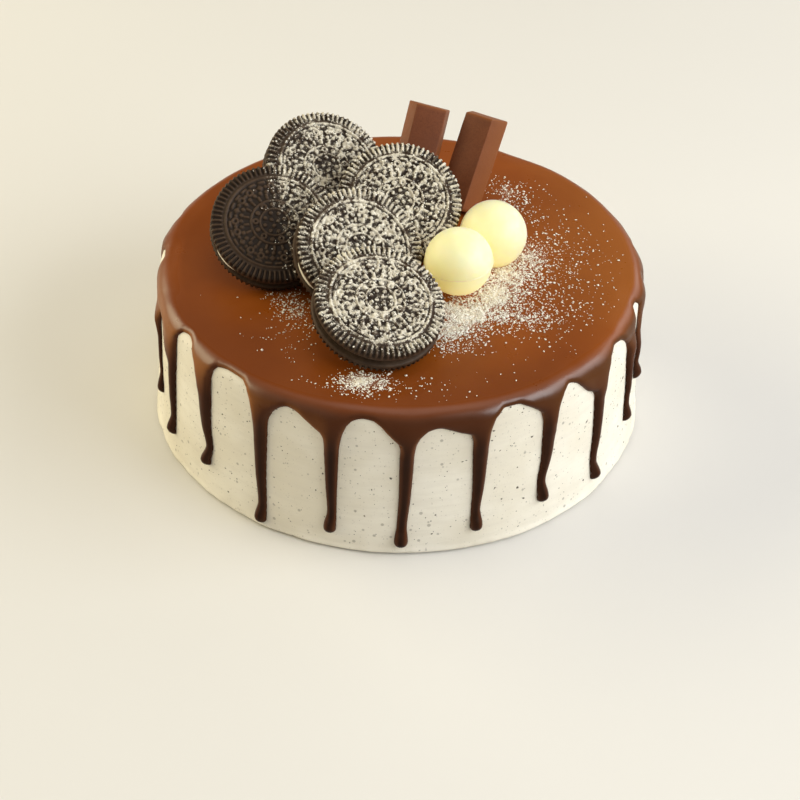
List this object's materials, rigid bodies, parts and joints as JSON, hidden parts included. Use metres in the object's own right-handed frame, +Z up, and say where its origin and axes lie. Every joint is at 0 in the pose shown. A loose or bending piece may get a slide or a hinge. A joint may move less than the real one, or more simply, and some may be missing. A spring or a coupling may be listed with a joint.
{
  "type": "chocolate drip cake",
  "caption": "Round frosted cake under a poured chocolate glaze that runs down in drips, topped with piled sandwich cookies, white chocolate balls and chocolate bars.",
  "frame": {"origin": "centre of the outline on the surface the cake stands on", "axes": "+Z up, +X to the viewer's right, -Y towards the viewer of the side shown"},
  "size_m": [0.1788, 0.18, 0.0952],
  "materials": {
    "frosting": "smooth spread frosting with fine dark crumbs",
    "glaze": "glossy poured chocolate glaze",
    "wafer": "dry baked dark cocoa wafer",
    "creme": "soft white filling",
    "milk_chocolate": "moulded milk chocolate with a low sheen",
    "white_chocolate": "moulded white chocolate with a satin sheen"
  },
  "bodies": {
    "root": {"frosted_cake": "frosting", "chocolate_glaze": "glaze", "ganache_mound": "glaze", "cookie_front_top": "wafer", "cookie_front_creme": "creme", "cookie_front_base": "wafer", "cookie_middle_top": "wafer", "cookie_middle_creme": "creme", "cookie_middle_base": "wafer", "cookie_left_top": "wafer", "cookie_left_creme": "creme", "cookie_left_base": "wafer", "cookie_right_top": "wafer", "cookie_right_creme": "creme", "cookie_right_base": "wafer", "cookie_back_top": "wafer", "cookie_back_creme": "creme", "cookie_back_base": "wafer", "chocolate_bar_left": "milk_chocolate", "chocolate_bar_right": "milk_chocolate", "white_ball_front": "white_chocolate", "white_ball_rear": "white_chocolate"}
  },
  "joints": []
}
